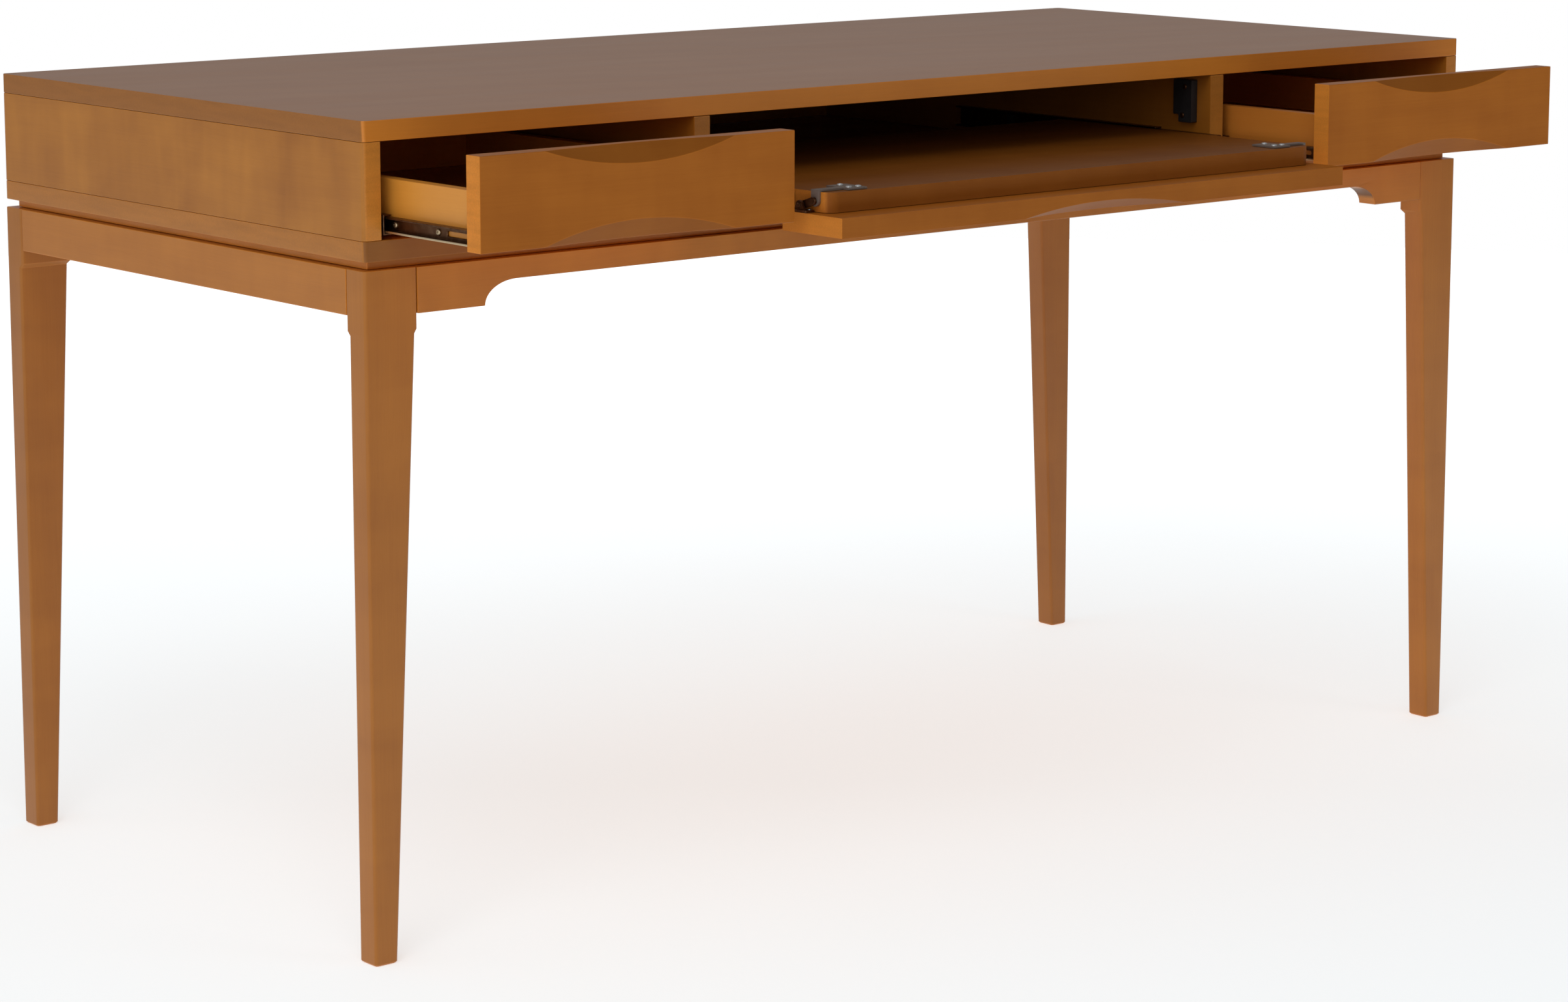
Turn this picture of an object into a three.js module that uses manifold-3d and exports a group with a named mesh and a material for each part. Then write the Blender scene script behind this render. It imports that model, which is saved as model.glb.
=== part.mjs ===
// Writing desk with two drawers and a pull-out tray behind a drop-down flap.
// Millimetres, +Z up. The desk faces -Y, and x runs along its front. The origin is on the
// floor under the middle of the desk's box, with the drawers, tray and flap as they stand.
import * as THREE from 'three';
import { mergeVertices } from 'three/addons/utils/BufferGeometryUtils.js';
import Module from 'manifold-3d';

const wasm = await Module();
wasm.setup();

// ---- Driving dimensions --------------------------------------------------------------------

const WIDTH = 1397;
const DEPTH = 610;
const HEIGHT = 737;
const PANEL = 18; // thickness of the case's panels
const SEAM = 0.3; // gap left where two pieces touch

// Heights of the levels, from the floor up.
const APRON_BOTTOM = 569;
const LEG_TOP = 609.5;
const CASE_BOTTOM = 617; // the shadow gap is between the leg tops and here
const SHADOW_INSET = 9;
const SPACER_STRIP = 50;
const CASE_FLOOR = CASE_BOTTOM + PANEL;
const CASE_CEILING = HEIGHT - PANEL;
const CASE_CORNER = 4; // rounding of the case's four upright corners

// Legs: a square-shouldered top block over a shank that tapers on its inner side.
const LEG_BLOCK = { x: 54, y: 29 };
const LEG_SHANK = { x: 51.5, y: 25 };
const LEG_FOOT = { x: 23.5, y: 25 };
const LEG_SHOULDER = 556; // height of the step under the block
const LEG_CORNER = 3;
const FOOT_CHAMFER = 1.5;

// Aprons, and the coves that thin the long ones.
const APRON = 22;
const APRON_SETBACK = 0.5;
const COVE = { start: 125.5, width: 34.5, height: 21 }; // start is measured from the desk's end

// Drawers: inset fronts over low boxes on telescopic slides.
const DIVIDER_INNER = 323; // half the width of the middle bay
const FRONT = 19; // thickness of a drawer front
const FRONT_BOTTOM = CASE_FLOOR + 2;
const FRONT_TOP = CASE_CEILING - 1.5;
const FRONT_SIDE_GAP = 1.5;
const SCOOP = { chord: 205, depth: 16.5, slope: 1.732 }; // finger scoops in the fronts' edges
const BOX = { side: 12, length: 450, bottom: 640.5, top: 686 };
const BOX_FLOOR = { bottom: 645, thickness: 5.5, groove: 5 };
const DRAWER_OPEN = 141; // how far the drawers stand out

// Telescopic slides: three nested steel channels in the gap beside a drawer or the tray.
const SLIDE_GAP = 13;
const SLIDE_METAL = 1.4;
const DRAWER_SLIDE = { start: 21, length: 400, height: 647.5, lag: 50 };
const TRAY_SLIDE = { start: 68, length: 300, height: 651.5, lag: 0 };
const SLOT = { from: 10, to: 40, radius: 2.2 }; // fixing slots near both ends of an inner channel

// Tray and flap. The runners carry the tray, and each gives part of its travel.
const TRAY = { depth: 350, bottom: 642.5, thickness: 18, corner: 12 };
const FLAP = 18;
const FLAP_TO_TRAY = 4; // gap behind the closed flap
const RUNNERS_OPEN = 86;
const TRAY_OPEN = 171;
const TRAY_FRONT = FLAP + FLAP_TO_TRAY;
const FLAP_PIN = { up: 20, out: 6 }; // from the flap's lower edge, and out of its inner face

// Flap links, which turn half a turn while the flap turns a quarter.
const LINK_SWING = Math.PI;
const FLAP_TURN = -Math.PI / 2;
const LINK = { radius: 3.5, thickness: 2.8, pin: 2, hole: 2.35 };

// The flap's pins with the desk closed: y and z of the pin on the tray and of the one on the flap.
const FLAP_PIN_CLOSED = { y: FLAP + FLAP_PIN.out, z: FRONT_BOTTOM + FLAP_PIN.up };
const TRAY_PIN = { y: TRAY_FRONT + 15.75, z: 652.5 };

// The flap lies flat when it is down, so its front edge is what reaches furthest forward.
const FLAP_HEIGHT = FRONT_TOP - FRONT_BOTTOM;
const FLAP_REACH = TRAY_OPEN - (2 * TRAY_PIN.y - FLAP_PIN_CLOSED.y + FLAP_PIN.up - FLAP_HEIGHT);
const CASE_FRONT = -(DEPTH - FLAP_REACH) / 2;

const HALF = WIDTH / 2;
const BAY_WALL = HALF - PANEL; // inner face of a side panel
const DIVIDER_OUTER = DIVIDER_INNER + PANEL;

// ---- Materials -----------------------------------------------------------------------------

const finish = (color, roughness, metalness = 0) =>
  () => new THREE.MeshStandardMaterial({ color, roughness, metalness });

const caseWood = finish('#a5672f', 0.42);
const drawerWood = finish('#bf8442', 0.5);
const darkSteel = finish('#2c2926', 0.45, 0.8);
const nickel = finish('#b4b6b8', 0.3, 0.9);
const blackPlastic = finish('#1b1d1e', 0.55);

// ---- Geometry helpers ----------------------------------------------------------------------

function add(group, name, geometry, material) {
  const mesh = new THREE.Mesh(geometry, material());
  mesh.name = name;
  group.add(mesh);
}

// A board between two corners, each given as [x, y, z].
function board(low, high) {
  const size = high.map((value, i) => value - low[i]);
  const middle = high.map((value, i) => (value + low[i]) / 2);
  return new THREE.BoxGeometry(...size).translate(...middle);
}

const outline = (points) => new THREE.Shape(points.map(([u, v]) => new THREE.Vector2(u, v)));

function extrude(shape, from, to, curveSegments = 8) {
  const options = { depth: to - from, bevelEnabled: false, curveSegments };
  return new THREE.ExtrudeGeometry(shape, options).translate(0, 0, from);
}

// An outline of (y, z) points, extruded along x.
function alongX(shape, from, to) {
  const turn = new THREE.Matrix4().makeBasis(
    new THREE.Vector3(0, 1, 0), new THREE.Vector3(0, 0, 1), new THREE.Vector3(1, 0, 0));
  return extrude(shape, Math.min(from, to), Math.max(from, to)).applyMatrix4(turn);
}

// An outline of (x, z) points, extruded along y.
function alongY(shape, from, to, curveSegments = 8) {
  const turn = new THREE.Matrix4().makeBasis(
    new THREE.Vector3(1, 0, 0), new THREE.Vector3(0, 0, 1), new THREE.Vector3(0, -1, 0));
  return extrude(shape, -to, -from, curveSegments).applyMatrix4(turn);
}

function solidOf(geometry) {
  const bare = geometry.clone();
  bare.deleteAttribute('normal');
  bare.deleteAttribute('uv');
  const merged = mergeVertices(bare, 1e-4);
  return new wasm.Manifold(new wasm.Mesh({
    numProp: 3,
    vertProperties: new Float32Array(merged.attributes.position.array),
    triVerts: new Uint32Array(merged.index.array),
  }));
}

function geometryOf(solid) {
  const { vertProperties, triVerts } = solid.getMesh();
  const geometry = new THREE.BufferGeometry();
  geometry.setAttribute('position', new THREE.BufferAttribute(vertProperties, 3));
  geometry.setIndex(new THREE.BufferAttribute(triVerts, 1));
  return geometry.toNonIndexed();
}

const join = (...geometries) =>
  geometryOf(geometries.map(solidOf).reduce((whole, piece) => whole.add(piece)));

const cut = (geometry, ...tools) =>
  geometryOf(tools.map(solidOf).reduce((left, tool) => left.subtract(tool), solidOf(geometry)));

// Corners of a rectangle with rounded corners, three steps to each corner.
function roundedRectangle(x0, x1, y0, y1, radius) {
  const centres = [
    [x1 - radius, y1 - radius], [x0 + radius, y1 - radius],
    [x0 + radius, y0 + radius], [x1 - radius, y0 + radius],
  ];
  return centres.flatMap(([cx, cy], quarter) => [0, 1, 2, 3].map((step) => {
    const angle = (quarter + step / 3) * Math.PI / 2;
    return [cx + radius * Math.cos(angle), cy + radius * Math.sin(angle)];
  }));
}

// A closed skin over sections, each { z, ring }, with the same number of points in every ring.
function loft(sections) {
  const positions = [];
  const index = [];
  const count = sections[0].ring.length;
  for (const { z, ring } of sections) ring.forEach(([x, y]) => positions.push(x, y, z));
  for (let level = 0; level + 1 < sections.length; level += 1) {
    for (let i = 0; i < count; i += 1) {
      const a = level * count + i;
      const b = level * count + (i + 1) % count;
      index.push(a, b, b + count, a, b + count, a + count);
    }
  }
  const last = (sections.length - 1) * count;
  for (let i = 1; i + 1 < count; i += 1) {
    index.push(0, i + 1, i);
    index.push(last, last + i, last + i + 1);
  }
  const geometry = new THREE.BufferGeometry();
  geometry.setAttribute('position', new THREE.Float32BufferAttribute(positions, 3));
  geometry.setIndex(index);
  return geometry.toNonIndexed();
}

// ---- Base: legs, aprons, corner blocks and the spacer --------------------------------------

// side is -1 at the left end and 1 at the right, end is -1 at the front and 1 at the back.
// A leg's two outer faces are flush with the case, so it narrows towards the desk's middle.
function leg(side, end) {
  const outerX = side * HALF;
  const outerY = end < 0 ? 0 : DEPTH;
  const section = (z, size, corner, inset = 0) => {
    const xs = [outerX - side * inset, outerX - side * (size.x - inset)].sort((a, b) => a - b);
    const ys = [outerY - end * inset, outerY - end * (size.y - inset)].sort((a, b) => a - b);
    return { z, ring: roundedRectangle(...xs, ...ys, corner) };
  };
  return loft([
    section(0, LEG_FOOT, LEG_CORNER, FOOT_CHAMFER),
    section(FOOT_CHAMFER, LEG_FOOT, LEG_CORNER),
    section(LEG_SHOULDER - 4, LEG_SHANK, LEG_CORNER),
    section(LEG_SHOULDER, LEG_BLOCK, LEG_CORNER),
    section(LEG_TOP - SEAM, LEG_BLOCK, LEG_CORNER),
  ]);
}

// The long aprons are thinned between two coves.
function longApron(y0, y1) {
  const end = HALF - LEG_BLOCK.x - SEAM;
  const deep = HALF - COVE.start;
  const shallow = deep - COVE.width;
  const shape = new THREE.Shape();
  shape.moveTo(-end, APRON_BOTTOM);
  shape.lineTo(-deep, APRON_BOTTOM);
  shape.absellipse(-shallow, APRON_BOTTOM, COVE.width, COVE.height, Math.PI, Math.PI / 2, true);
  shape.absellipse(shallow, APRON_BOTTOM, COVE.width, COVE.height, Math.PI / 2, 0, true);
  shape.lineTo(end, APRON_BOTTOM);
  shape.lineTo(end, LEG_TOP - SEAM);
  shape.lineTo(-end, LEG_TOP - SEAM);
  return alongY(shape, y0, y1);
}

// A block across the inside of a corner, cut round the leg.
function cornerBlock(side, end) {
  const apronFace = APRON_SETBACK + APRON + SEAM;
  const points = [
    [apronFace, LEG_BLOCK.y + SEAM], [LEG_BLOCK.x + SEAM, LEG_BLOCK.y + SEAM],
    [LEG_BLOCK.x + SEAM, apronFace], [112, apronFace], [apronFace, 104],
  ].map(([x, y]) => [side * (HALF - x), end < 0 ? y : DEPTH - y]);
  return extrude(outline(points), APRON_BOTTOM + 5, LEG_TOP - 4);
}

function spacer() {
  const ring = (inset) => [
    [-HALF + inset, inset], [HALF - inset, inset],
    [HALF - inset, DEPTH - inset], [-HALF + inset, DEPTH - inset],
  ];
  const shape = outline(ring(SHADOW_INSET));
  shape.holes.push(outline(ring(SHADOW_INSET + SPACER_STRIP)));
  return extrude(shape, LEG_TOP, CASE_BOTTOM - SEAM);
}

function buildBase(desk) {
  for (const [sideName, side] of [['left', -1], ['right', 1]]) {
    for (const [endName, end] of [['front', -1], ['back', 1]]) {
      add(desk, `${endName}_${sideName}_leg`, leg(side, end), caseWood);
      add(desk, `${endName}_${sideName}_corner_block`, cornerBlock(side, end), drawerWood);
    }
    const outer = side * (HALF - APRON_SETBACK);
    const inner = side * (HALF - APRON_SETBACK - APRON);
    const reach = LEG_BLOCK.y + SEAM;
    add(desk, `${sideName}_apron`, board(
      [Math.min(outer, inner), reach, APRON_BOTTOM],
      [Math.max(outer, inner), DEPTH - reach, LEG_TOP - SEAM]), caseWood);
  }
  const back = DEPTH - APRON_SETBACK;
  add(desk, 'front_apron', longApron(APRON_SETBACK, APRON_SETBACK + APRON), caseWood);
  add(desk, 'back_apron', longApron(back - APRON, back), caseWood);
  add(desk, 'spacer_frame', spacer(), caseWood);
}

// ---- Case: desktop, sides, bottom, dividers and back ---------------------------------------

// A side panel's outline seen from above, rounded at its two outer corners.
function sidePanel(side) {
  const corners = roundedRectangle(-HALF, HALF, 0, DEPTH, CASE_CORNER)
    .filter(([x]) => x * side > BAY_WALL);
  const inner = [[side * BAY_WALL, 0], [side * BAY_WALL, DEPTH]];
  return outline(side > 0
    ? [...corners.slice(4), ...corners.slice(0, 4), inner[1], inner[0]]
    : [...corners, inner[0], inner[1]]);
}

function buildCase(desk) {
  const low = CASE_FLOOR;
  const high = CASE_CEILING - SEAM;
  const back = DEPTH - PANEL;
  const whole = outline(roundedRectangle(-HALF, HALF, 0, DEPTH, CASE_CORNER));
  add(desk, 'desktop', extrude(whole, CASE_CEILING, HEIGHT), caseWood);
  add(desk, 'bottom_panel', extrude(whole, CASE_BOTTOM, CASE_FLOOR - SEAM), caseWood);
  add(desk, 'left_side_panel', extrude(sidePanel(-1), low, high), caseWood);
  add(desk, 'right_side_panel', extrude(sidePanel(1), low, high), caseWood);
  add(desk, 'left_divider', board(
    [-DIVIDER_OUTER, 0, low], [-DIVIDER_INNER, back - SEAM, high]), caseWood);
  add(desk, 'right_divider', board(
    [DIVIDER_INNER, 0, low], [DIVIDER_OUTER, back - SEAM, high]), caseWood);
  add(desk, 'back_panel', board(
    [-BAY_WALL + SEAM, back, low], [BAY_WALL - SEAM, DEPTH, high]), caseWood);
}

// ---- Telescopic slides ---------------------------------------------------------------------

// Each channel is given by the distances of its web and its lips' edge from the wall, and by
// half its height. The inner channel's web lies against the drawer, so it opens the other way.
const CHANNELS = {
  outer: { web: SEAM, lip: 9.3, half: 10.5 },
  middle: { web: 2.4, lip: 10.6, half: 8.7 },
  inner: { web: SLIDE_GAP - SEAM, lip: 4.6, half: 6.6 },
};

// Cutters for the slots through an inner channel's web at x, one near each of its ends.
function slots(x, slide, from, to) {
  const { radius } = SLOT;
  return [[from + SLOT.from, from + SLOT.to], [to - SLOT.to, to - SLOT.from]].map(([y0, y1]) => {
    const shape = new THREE.Shape();
    shape.absarc(y0 + radius, slide.height, radius, Math.PI / 2, 1.5 * Math.PI, false);
    shape.absarc(y1 - radius, slide.height, radius, 1.5 * Math.PI, 2.5 * Math.PI, false);
    return alongX(shape, x - 2, x + 2);
  });
}

// wall is the x of the wall, and inward is the direction from it to the drawer.
// A middle channel is shorter at its front by the slide's lag.
function channel(kind, wall, inward, slide) {
  const { web, lip, half } = CHANNELS[kind];
  const face = web + Math.sign(lip - web) * SLIDE_METAL;
  const inside = half - SLIDE_METAL;
  const points = [
    [web, -half], [lip, -half], [lip, -inside], [face, -inside],
    [face, inside], [lip, inside], [lip, half], [web, half],
  ].map(([out, up]) => [wall + inward * out, slide.height + up]);
  const from = slide.start + (kind === 'middle' ? slide.lag : 0);
  const to = slide.start + slide.length;
  const bar = alongY(outline(points), from, to);
  return kind === 'inner' ? cut(bar, ...slots(wall + inward * web, slide, from, to)) : bar;
}

// ---- Fronts with finger scoops -------------------------------------------------------------

// A sloping cutter that leaves an arc on the outer face and runs out through an edge.
// up is 1 for the upper edge and -1 for the lower one.
function scoopCutter(middle, up) {
  const edge = up > 0 ? FRONT_TOP : FRONT_BOTTOM;
  const half = SCOOP.chord / 2;
  const radius = (half ** 2 + SCOOP.depth ** 2) / (2 * SCOOP.depth);
  const spread = Math.asin((half + 4) / radius);
  const centre = edge + up * (radius - SCOOP.depth);
  const down = -up * Math.PI / 2;
  const shape = new THREE.Shape();
  shape.absarc(middle, centre, radius, down - spread, down + spread, false);
  shape.lineTo(middle + up * (half + 4), edge + up * 30);
  shape.lineTo(middle - up * (half + 4), edge + up * 30);
  const shear = new THREE.Matrix4().set(
    1, 0, 0, 0, 0, 1, 0, 0, 0, up * SCOOP.slope, 1, 0, 0, 0, 0, 1);
  return alongY(shape, -2, FRONT + 2, 28).applyMatrix4(shear);
}

// A front standing closed, with its outer face in the case's front plane.
function scoopedFront(x0, x1, thickness) {
  const middle = (x0 + x1) / 2;
  return cut(
    board([x0, 0, FRONT_BOTTOM], [x1, thickness, FRONT_TOP]),
    scoopCutter(middle, 1), scoopCutter(middle, -1));
}

// ---- Drawers -------------------------------------------------------------------------------

// A drawer side with a groove for the drawer's floor. inward points into the drawer.
function drawerSide(outerX, inward) {
  const grooveTop = BOX_FLOOR.bottom + BOX_FLOOR.thickness;
  const points = [
    [0, BOX.bottom], [BOX.side, BOX.bottom], [BOX.side, BOX_FLOOR.bottom],
    [BOX.side - BOX_FLOOR.groove, BOX_FLOOR.bottom], [BOX.side - BOX_FLOOR.groove, grooveTop],
    [BOX.side, grooveTop], [BOX.side, BOX.top], [0, BOX.top],
  ].map(([across, z]) => [outerX + inward * across, z]);
  return alongY(outline(points), FRONT + SEAM, FRONT + BOX.length);
}

// The drawer is built closed and its group moved out, with half of that for the runners.
function buildDrawer(desk, name, leftWall, rightWall) {
  const drawer = new THREE.Group();
  const runners = new THREE.Group();
  drawer.position.y = -DRAWER_OPEN;
  runners.position.y = -DRAWER_OPEN / 2;
  desk.add(drawer, runners);

  const left = leftWall + SLIDE_GAP;
  const right = rightWall - SLIDE_GAP;
  const rear = FRONT + BOX.length;
  const floorTop = BOX_FLOOR.bottom + BOX_FLOOR.thickness;
  const grooveEnd = BOX.side - BOX_FLOOR.groove + SEAM;
  add(drawer, `${name}_drawer_front`, scoopedFront(
    leftWall + FRONT_SIDE_GAP, rightWall - FRONT_SIDE_GAP, FRONT), caseWood);
  add(drawer, `${name}_drawer_left_side`, drawerSide(left, 1), drawerWood);
  add(drawer, `${name}_drawer_right_side`, drawerSide(right, -1), drawerWood);
  add(drawer, `${name}_drawer_back`, board(
    [left + BOX.side + SEAM, rear - BOX.side, floorTop],
    [right - BOX.side - SEAM, rear, BOX.top]), drawerWood);
  add(drawer, `${name}_drawer_floor`, board(
    [left + grooveEnd, FRONT + SEAM, BOX_FLOOR.bottom + SEAM],
    [right - grooveEnd, rear, floorTop - SEAM]), drawerWood);

  for (const [sideName, wall, inward] of [['left', leftWall, 1], ['right', rightWall, -1]]) {
    const slide = `${name}_drawer_${sideName}_slide`;
    add(desk, `${slide}_outer`, channel('outer', wall, inward, DRAWER_SLIDE), darkSteel);
    add(runners, `${slide}_middle`, channel('middle', wall, inward, DRAWER_SLIDE), darkSteel);
    add(drawer, `${slide}_inner`, channel('inner', wall, inward, DRAWER_SLIDE), darkSteel);
  }
}

// ---- Tray, flap and the links between them --------------------------------------------------

function trayBoard() {
  const half = DIVIDER_INNER - SLIDE_GAP;
  const back = TRAY_FRONT + TRAY.depth;
  const shape = new THREE.Shape();
  shape.moveTo(half, back);
  shape.lineTo(-half, back);
  shape.absarc(-half + TRAY.corner, TRAY_FRONT + TRAY.corner, TRAY.corner,
    Math.PI, 1.5 * Math.PI, false);
  shape.absarc(half - TRAY.corner, TRAY_FRONT + TRAY.corner, TRAY.corner,
    1.5 * Math.PI, 2 * Math.PI, false);
  return extrude(shape, TRAY.bottom, TRAY.bottom + TRAY.thickness);
}

// The layers across the gap at each end of the tray, as distances out from the desk's middle.
const LAYERS = {
  ear: [DIVIDER_INNER - SLIDE_GAP + SEAM, DIVIDER_INNER - SLIDE_GAP + 3],
  link: [DIVIDER_INNER - 9.5, DIVIDER_INNER - 6.7],
  lug: [DIVIDER_INNER - 6.1, DIVIDER_INNER - 3.4],
  leaf: [DIVIDER_INNER - 12, DIVIDER_INNER - 2.2],
};

const rod = (radius, pin, from, to) => {
  const shape = new THREE.Shape();
  shape.absarc(pin.y, pin.z, radius, 0, 2 * Math.PI, false);
  return alongX(shape, from, to);
};

// A plate on the tray's top with a strap to the tray's end, where an ear carries the link's pin.
function flapHingePlate(side) {
  const top = TRAY.bottom + TRAY.thickness + SEAM;
  const sheet = 1.8;
  const [inner, outer] = LAYERS.ear;
  const strap = { from: TRAY_PIN.y - 5, to: TRAY_PIN.y + 5 };
  const plate = outline([
    [outer, strap.from], [284, strap.from], [284, TRAY_FRONT + 4], [262, TRAY_FRONT + 4],
    [262, TRAY_FRONT + 34], [284, TRAY_FRONT + 34], [284, strap.to], [outer, strap.to],
  ].map(([x, y]) => [side * x, y]));
  const ear = new THREE.Shape();
  ear.moveTo(strap.to, top + sheet / 2);
  ear.lineTo(strap.from, top + sheet / 2);
  ear.lineTo(TRAY_PIN.y - 5, TRAY_PIN.z);
  ear.absarc(TRAY_PIN.y, TRAY_PIN.z, 5, Math.PI, 2 * Math.PI, false);
  return cut(
    join(extrude(plate, top, top + sheet), alongX(ear, side * inner, side * outer)),
    rod(LINK.hole, TRAY_PIN, side * (inner - 1), side * (outer + 1)));
}

// A flat link with a pin into the ear at one end and a pin through the flap's lug at the other.
function flapLink(side) {
  const [near, far] = LAYERS.link;
  const along = Math.atan2(FLAP_PIN_CLOSED.z - TRAY_PIN.z, FLAP_PIN_CLOSED.y - TRAY_PIN.y);
  const plate = new THREE.Shape();
  plate.absarc(TRAY_PIN.y, TRAY_PIN.z, LINK.radius,
    along + Math.PI / 2, along + 1.5 * Math.PI, false);
  plate.absarc(FLAP_PIN_CLOSED.y, FLAP_PIN_CLOSED.z, LINK.radius,
    along - Math.PI / 2, along + Math.PI / 2, false);
  return join(
    alongX(plate, side * near, side * far),
    rod(LINK.pin, TRAY_PIN, side * (LAYERS.ear[0] + 0.5), side * (near + 1)),
    rod(LINK.pin, FLAP_PIN_CLOSED, side * (far - 1), side * (LAYERS.lug[1] + 0.3)));
}

// A leaf screwed to the flap's inner face, with a lug for the link's pin.
function flapBracket(side) {
  const face = FLAP + SEAM;
  const lug = new THREE.Shape();
  lug.moveTo(face + 1, FLAP_PIN_CLOSED.z + 8);
  lug.lineTo(face + 1, FLAP_PIN_CLOSED.z - 8);
  lug.lineTo(FLAP_PIN_CLOSED.y, FLAP_PIN_CLOSED.z - 4.5);
  lug.absarc(FLAP_PIN_CLOSED.y, FLAP_PIN_CLOSED.z, 4.5, -Math.PI / 2, Math.PI / 2, false);
  const [inner, outer] = LAYERS.leaf.map((out) => side * out).sort((a, b) => a - b);
  const leaf = board([inner, face, FRONT_BOTTOM + 8], [outer, face + 1.9, FRONT_BOTTOM + 31]);
  const [near, far] = LAYERS.lug;
  return cut(
    join(leaf, alongX(lug, side * near, side * far)),
    rod(LINK.hole, FLAP_PIN_CLOSED, side * (near - 1), side * (far + 1)));
}

// A stepped spring catch on a divider, which holds the closed flap's upper corner.
function flapCatch(side) {
  const wall = side * (DIVIDER_INNER - SEAM);
  const front = FLAP + 0.5;
  const shape = outline([
    [front, 670], [front + 18, 670], [front + 18, 677.5], [front + 25, 677.5],
    [front + 25, 713], [front, 713],
  ]);
  return alongX(shape, wall, wall - side * 8.7);
}

// Turns everything in a group about the x axis through a pin.
function hang(parent, pin, angle) {
  const pivot = new THREE.Group();
  pivot.position.set(0, pin.y, pin.z);
  pivot.rotation.x = angle;
  const inside = new THREE.Group();
  inside.position.set(0, -pin.y, -pin.z);
  pivot.add(inside);
  parent.add(pivot);
  return inside;
}

function buildTray(desk) {
  const runners = new THREE.Group();
  const tray = new THREE.Group();
  runners.position.y = -RUNNERS_OPEN;
  tray.position.y = -TRAY_OPEN;
  desk.add(runners, tray);
  const links = hang(tray, TRAY_PIN, LINK_SWING);
  const flap = hang(links, FLAP_PIN_CLOSED, FLAP_TURN);

  add(tray, 'tray_board', trayBoard(), caseWood);
  const flapEnd = DIVIDER_INNER - FRONT_SIDE_GAP;
  add(flap, 'flap_front', scoopedFront(-flapEnd, flapEnd, FLAP), caseWood);
  for (const [sideName, side] of [['left', -1], ['right', 1]]) {
    const wall = side * DIVIDER_INNER;
    const slide = `tray_${sideName}_slide`;
    add(desk, `${slide}_outer`, channel('outer', wall, -side, TRAY_SLIDE), darkSteel);
    add(runners, `${slide}_middle`, channel('middle', wall, -side, TRAY_SLIDE), darkSteel);
    add(tray, `${slide}_inner`, channel('inner', wall, -side, TRAY_SLIDE), darkSteel);
    add(tray, `${sideName}_flap_hinge_plate`, flapHingePlate(side), nickel);
    add(links, `${sideName}_flap_link`, flapLink(side), darkSteel);
    add(flap, `${sideName}_flap_bracket`, flapBracket(side), darkSteel);
    add(desk, `${sideName}_flap_catch`, flapCatch(side), blackPlastic);
  }
}

// ---- The desk ------------------------------------------------------------------------------

const desk = new THREE.Group();
desk.position.y = CASE_FRONT;
buildBase(desk);
buildCase(desk);
buildDrawer(desk, 'left', -BAY_WALL, -DIVIDER_OUTER);
buildDrawer(desk, 'right', DIVIDER_OUTER, BAY_WALL);
buildTray(desk);

const model = new THREE.Group();
model.add(desk);

export default model;
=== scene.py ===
"""A writing desk: its finishes, its small fittings and the studio that it stands in.

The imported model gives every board, slide channel and hinge part. This script dresses them, adds
the screws, the bolts and the slides' buffers and bright races, and sets the floor, the lights and
the camera.
"""

import logging
import math
from dataclasses import dataclass, field, replace
from enum import Enum
from typing import Iterable, Sequence

import bmesh
import bpy
from mathutils import Matrix, Vector

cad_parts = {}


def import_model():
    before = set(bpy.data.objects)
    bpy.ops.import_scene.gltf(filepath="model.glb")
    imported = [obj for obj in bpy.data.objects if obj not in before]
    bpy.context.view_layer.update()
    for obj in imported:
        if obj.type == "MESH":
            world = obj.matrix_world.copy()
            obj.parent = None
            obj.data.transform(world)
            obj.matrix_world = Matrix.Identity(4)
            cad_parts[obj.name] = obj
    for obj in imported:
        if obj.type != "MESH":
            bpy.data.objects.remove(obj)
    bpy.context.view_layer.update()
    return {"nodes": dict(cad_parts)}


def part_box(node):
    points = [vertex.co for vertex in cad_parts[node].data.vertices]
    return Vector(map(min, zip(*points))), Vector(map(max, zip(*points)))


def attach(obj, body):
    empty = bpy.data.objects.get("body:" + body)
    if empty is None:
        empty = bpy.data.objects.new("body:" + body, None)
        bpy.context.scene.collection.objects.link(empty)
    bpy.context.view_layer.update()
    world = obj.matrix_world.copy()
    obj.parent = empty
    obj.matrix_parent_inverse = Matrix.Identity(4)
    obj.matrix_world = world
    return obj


LOG = logging.getLogger("desk")
MM = 0.001

Triple = tuple[float, float, float]
Colour = Triple
Parts = dict[str, bpy.types.Object]
Socket = bpy.types.NodeSocket


class Grain(Enum):
    """The direction in which a board's fibres run."""

    ALONG_X = "x"
    ALONG_Y = "y"
    ALONG_Z = "z"


class Edge(Enum):
    """How a board's edges are eased, as the width of the rounding in metres."""

    CRISP = 0.5 * MM
    EASED = 1.0 * MM
    SOFT = 1.8 * MM


class Bend(Enum):
    """The bend between two faces, in degrees, above which the edge between them is crisp."""

    SHALLOW = 20
    STEEP = 38


class Side(Enum):
    """The two ends of the desk, as the sign of x."""

    LEFT = -1
    RIGHT = 1

    @property
    def word(self) -> str:
        """The side's name as it stands in a part's name."""
        return self.name.lower()


class End(Enum):
    """The desk's front and back, by the word that stands in a part's name."""

    FRONT = "front"
    BACK = "back"


# ---- Shader writing --------------------------------------------------------------------------


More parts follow.
